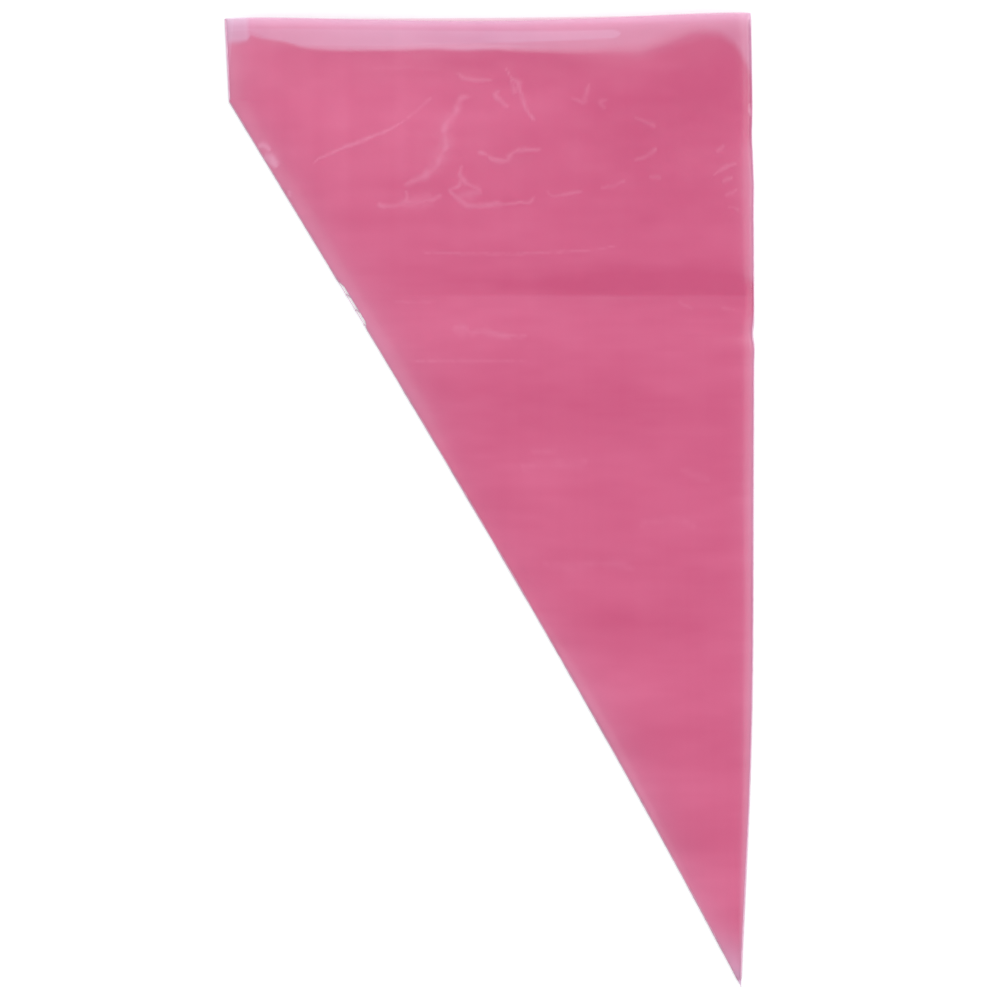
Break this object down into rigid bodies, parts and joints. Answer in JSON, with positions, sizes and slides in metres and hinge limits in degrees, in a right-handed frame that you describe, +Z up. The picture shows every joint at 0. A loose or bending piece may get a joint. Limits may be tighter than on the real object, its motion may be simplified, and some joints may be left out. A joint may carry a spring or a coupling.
{
  "type": "piping bag",
  "caption": "Disposable film piping bag: a flat triangular pouch, open at the mouth, welded down one side to a closed tip, that folds over along its packing crease.",
  "frame": {"origin": "centre of the bag's bounding box, on the surface that the back film lies on", "axes": "+Y from the tip to the mouth, +X from the welded side to the folded edge, +Z up off the surface, out of the front film"},
  "size_m": [0.25, 0.46, 0.0106],
  "materials": {
    "film": "glossy see-through pink film",
    "weld": "glossy melted bead",
    "fold": "glossy film fold"
  },
  "bodies": {
    "lower_bag": {"lower_front_film": "film", "lower_back_film": "film", "lower_side_weld": "weld", "lower_edge_fold": "fold", "tip_weld": "weld"},
    "mouth_section": {"upper_front_film": "film", "upper_back_film": "film", "upper_side_weld": "weld", "upper_edge_fold": "fold", "short_edge_fold": "fold"}
  },
  "joints": [
    {"name": "crease_fold", "type": "hinge", "parent": "lower_bag", "child": "mouth_section", "pos_m": [0.03, 0.09614, 0.0096], "axis": [1, 0, 0], "range_deg": [0, 165]}
  ]
}
